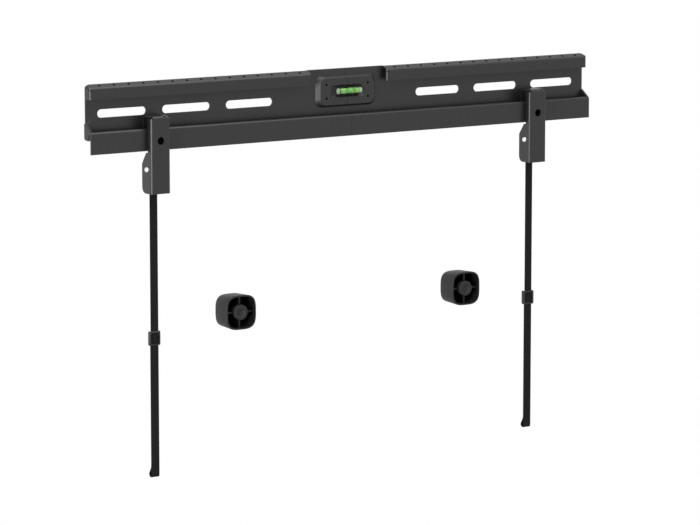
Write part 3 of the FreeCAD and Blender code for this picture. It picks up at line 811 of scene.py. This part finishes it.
for side in ("left", "right"):
    x, z = middle_of("bumper_" + side)
    bpy.ops.object.select_all(action="DESELECT")
    bpy.ops.mesh.primitive_circle_add(vertices=96, radius=1, fill_type="NGON", location=(x, 0, z),
                                      rotation=(math.pi / 2, 0, 0))
    cup = bpy.context.object
    cup.name = "bumper_cup_" + side
    bpy.ops.object.transform_apply(location=True, rotation=True, scale=True)
    for corner in cup.data.vertices:
        u, v = corner.co.x - x, corner.co.z - z
        size = steps[0][0] / (abs(u) ** bulge + abs(v) ** bulge) ** (1 / bulge)
        corner.co = (x + u * size, 0, z + v * size)
    edit_all()
    for (half, y), (next_half, next_y) in zip(steps, steps[1:]):
        bpy.ops.mesh.extrude_region_move(TRANSFORM_OT_translate={"value": (0, next_y - y, 0)})
        bpy.ops.transform.resize(value=(next_half / half, 1, next_half / half), center_override=(x, 0, z))
    bpy.ops.mesh.select_all(action="SELECT")
    bpy.ops.mesh.normals_make_consistent(inside=False)
    bpy.ops.object.mode_set(mode="OBJECT")
    sink = -cup_floor / 2
    reach = cup_back - cup_wall / 2
    for across, up in ((reach, rib_half), (rib_half, reach)):
        rib = block("rib", (x - across, rib_front, z - up), (x + across, sink, z + up))
        combine(cup, rib, "UNION")
    boss = round_bar("boss", boss_half, x, z, boss_front, sink)
    round_edges(boss, boss_edge, segments=5, degrees=30)
    combine(cup, boss, "UNION")
    for radius, near, far in ((boss_room, -cup_depth, boss_front),
                              (foot_stem, boss_front - cut_past, foot_stem_end),
                              (screw_hole, foot_stem_end - cut_past, cut_past)):
        combine(cup, round_bar("bore", radius, x, z, near, far), "DIFFERENCE")
    smooth(32)
    coat(cup, bumper_black)
    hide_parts("bumper_" + side)
    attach(cup, "rail")


# Bumper feet
# Soft grey rubber buttons with a shallow round recess in the face.
# Each has a stem behind it, which is pressed into the bumper's boss.
foot_half = 0.0084
foot_thick = 0.003
recess_depth = 0.0013
recess_floor = 0.0034
recess_wall = [(0.0039, 0.0011), (0.0042, 0.0003), (0.0045, 0)]
rounded_rim = [(0.0078, 0), (0.0082, 0.00017), (foot_half, 0.0006)]

foot_grey, tree, shader, place = finish("grey_rubber", metallic=0.0, specular=0.35)
rubber = grain(tree, place, per_metre=1800, detail=4)
shade(tree, shader, rubber, dark=(0.012, 0.012, 0.012), light=(0.018, 0.018, 0.018))
roughen(tree, shader, rubber, low=0.55, high=0.72)
relief(tree, shader, rubber, depth=0.00007, strength=0.4)

for side in ("left", "right"):
    x, z = middle_of("bumper_foot_" + side)
    low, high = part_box("bumper_foot_" + side)
    face, length = low[1], high[1] - low[1]
    section = ([(0, recess_depth), (recess_floor, recess_depth)] + recess_wall + rounded_rim
               + [(foot_half, foot_thick), (foot_stem, foot_thick), (foot_stem, length), (0, length)])
    foot = spin_round("foot_button_" + side, [(x + radius, face + depth, z) for radius, depth in section],
                      steps=64, centre=(x, 0, z), axis=(0, 1, 0))
    smooth(50)
    coat(foot, foot_grey)
    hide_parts("bumper_foot_" + side)
    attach(foot, "rail")


# Studio
# A pale floor well under the hanging part, and white surroundings that also fill the shadows.
# One tall soft box stands on the left and a square one hangs overhead.
def white_where_seen(tree, lit, out, glow):
    """Shows plain white to the camera, in reflections and through clear parts, and is lit elsewhere."""
    path = tree.nodes.new("ShaderNodeLightPath")
    seen = path.outputs["Is Camera Ray"]
    for ray in ("Is Glossy Ray", "Is Transmission Ray"):
        seen = reckon(tree, "MAXIMUM", seen, path.outputs[ray])
    white = tree.nodes.new(glow)
    white.inputs["Color"].default_value = (1, 1, 1, 1)
    white.inputs["Strength"].default_value = 1.0
    mix = tree.nodes.new("ShaderNodeMixShader")
    tree.links.new(seen, mix.inputs["Fac"])
    tree.links.new(lit, mix.inputs[1])
    tree.links.new(white.outputs[0], mix.inputs[2])
    tree.links.new(mix.outputs["Shader"], out)


world = bpy.data.worlds.new("studio")
bpy.context.scene.world = world
world.use_nodes = True
tree = world.node_tree
sky = tree.nodes["Background"]
sky.inputs["Color"].default_value = (1, 1, 1, 1)
sky.inputs["Strength"].default_value = 0.3
white_where_seen(tree, sky.outputs["Background"], tree.nodes["World Output"].inputs["Surface"],
                 "ShaderNodeBackground")

bpy.ops.object.select_all(action="DESELECT")
bpy.ops.mesh.primitive_plane_add(size=12, location=(0, 0, -0.9))
floor = bpy.context.object
floor.name = "floor"
pale, tree, shader, place = finish("pale_floor", metallic=0.0, specular=0.2)
shader.inputs["Base Color"].default_value = (0.8, 0.8, 0.8, 1)
shader.inputs["Roughness"].default_value = 0.8
white_where_seen(tree, shader.outputs["BSDF"], tree.nodes["Material Output"].inputs["Surface"],
                 "ShaderNodeEmission")
coat(floor, pale)
floor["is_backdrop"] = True

aim = Vector((0, 0, -0.15))
for name, spot, wide, tall, watts in (("soft_box_left", (-2.41, -0.97, -0.2), 0.6, 1.8, 66),
                                      ("overhead", (0.1, -0.7, 1.7), 1.8, 1.8, 32)):
    lamp = bpy.data.lights.new(name, "AREA")
    lamp.shape = "RECTANGLE"
    lamp.size = wide
    lamp.size_y = tall
    lamp.energy = watts
    holder = bpy.data.objects.new(name, lamp)
    bpy.context.scene.collection.objects.link(holder)
    holder.location = spot
    holder.rotation_euler = (aim - holder.location).to_track_quat("-Z", "Y").to_euler()
    holder.visible_camera = False


# Camera
# Long lens in front of the part, to its left and a little above it.
# Its place and turn were fitted to the rail's slots and straight edges.
yaw = math.radians(33.686)
pitch = math.radians(8.638)
lens = bpy.data.cameras.new("photo_lens")
lens.sensor_fit = "HORIZONTAL"
lens.sensor_width = 36.0
lens.lens = 182.613
lens.clip_start = 0.1
lens.clip_end = 50
camera = bpy.data.objects.new("photo_camera", lens)
bpy.context.scene.collection.objects.link(camera)
camera.location = (-2.1664, -3.2619, 0.4089)
camera.rotation_euler = (math.pi / 2 - pitch, 0, -yaw)
bpy.context.scene.camera = camera
bpy.context.scene.view_settings.view_transform = "Standard"

low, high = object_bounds()
